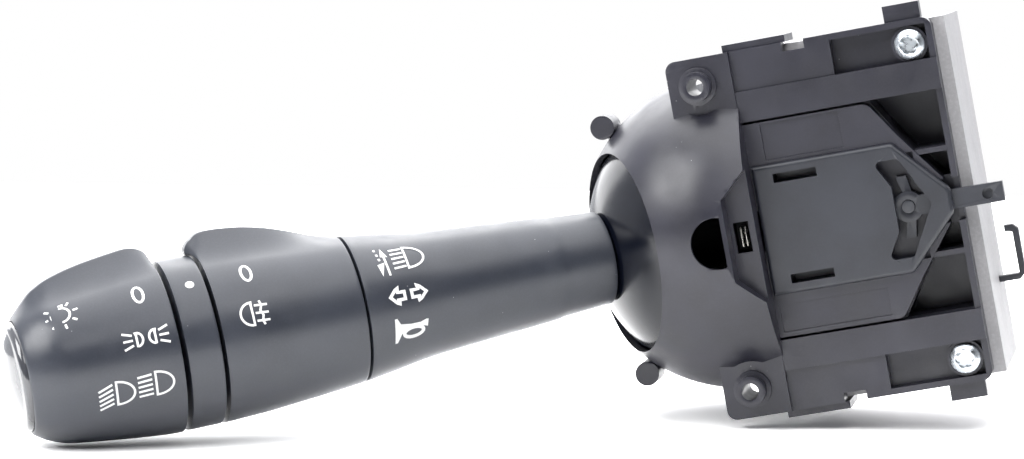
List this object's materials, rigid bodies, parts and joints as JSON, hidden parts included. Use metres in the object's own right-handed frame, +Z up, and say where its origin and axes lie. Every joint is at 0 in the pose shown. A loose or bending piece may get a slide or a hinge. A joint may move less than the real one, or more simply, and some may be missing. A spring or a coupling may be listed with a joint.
{
  "type": "combination stalk switch",
  "caption": "Steering-column stalk switch: lever with rotary light and fog rings, end button, domed swivel housing with flange bosses, cancel pawl and rear socket.",
  "frame": {"origin": "middle of the two mounting holes, on the rear face of the flange", "axes": "+X from the knob to the housing, +Y away from the driver, +Z up"},
  "size_m": [0.1887, 0.1092, 0.0774],
  "materials": {
    "housing_plastic": "dark, lightly eroded black",
    "cover_plastic": "fine satin black",
    "skirt_plastic": "semi-gloss black",
    "stalk_plastic": "fine grained charcoal",
    "inner_plastic": "plain dark grey",
    "button_gloss": "polished black",
    "carrier_plastic": "natural off-white",
    "zinc_screw": "bright zinc plate",
    "bright_steel": "drawn steel",
    "board": "green solder mask",
    "contact_brass": "tinned brass"
  },
  "bodies": {
    "housing": {"switch_housing": "housing_plastic", "mechanism_cover": "cover_plastic", "pawl_pin": "cover_plastic", "top_screw": "zinc_screw", "bottom_screw": "zinc_screw", "rear_carrier": "carrier_plastic", "circuit_board": "board", "connector_shell": "housing_plastic", "connector_pins": "contact_brass", "cable_hook": "cover_plastic", "rear_shell": "housing_plastic", "contact_block": "inner_plastic", "signal_contacts": "contact_brass", "swivel_washer": "bright_steel"},
    "swivel": {"swivel_yoke": "carrier_plastic", "cross_pin": "bright_steel"},
    "lever": {"lever_core": "inner_plastic", "ball_skirt": "skirt_plastic", "stalk_sleeve": "stalk_plastic", "switch_drum": "inner_plastic", "index_ring": "stalk_plastic", "horn_spring": "bright_steel", "fog_contacts": "contact_brass", "light_contacts": "contact_brass", "horn_contact": "contact_brass"},
    "light_switch": {"light_knob": "stalk_plastic"},
    "fog_switch": {"fog_ring": "stalk_plastic"},
    "horn_switch": {"horn_button": "button_gloss"},
    "pawl": {"cancel_pawl": "cover_plastic"}
  },
  "joints": [
    {"name": "indicator_swing", "type": "hinge", "parent": "housing", "child": "swivel", "pos_m": [0, 0.0165, 0], "axis": [0, 1, 0], "range_deg": [-9, 9]},
    {"name": "flash_pull", "type": "hinge", "parent": "swivel", "child": "lever", "pos_m": [0, 0.0165, 0], "axis": [0, 0, 1], "range_deg": [0, 7]},
    {"name": "light_turn", "type": "hinge", "parent": "lever", "child": "light_switch", "pos_m": [0, 0.0165, 0], "axis": [-0.8788, -0.4772, 0], "range_deg": [0, 64]},
    {"name": "fog_turn", "type": "hinge", "parent": "lever", "child": "fog_switch", "pos_m": [0, 0.0165, 0], "axis": [-0.8788, -0.4772, 0], "range_deg": [0, 31]},
    {"name": "horn_press", "type": "slide", "parent": "lever", "child": "horn_switch", "axis": [0.8788, 0.4772, 0], "range_m": [0, 0.0016]},
    {"name": "cancel_kick", "type": "hinge", "parent": "housing", "child": "pawl", "pos_m": [0.036, 0, 0], "axis": [0, 1, 0], "range_deg": [-8, 8]}
  ]
}
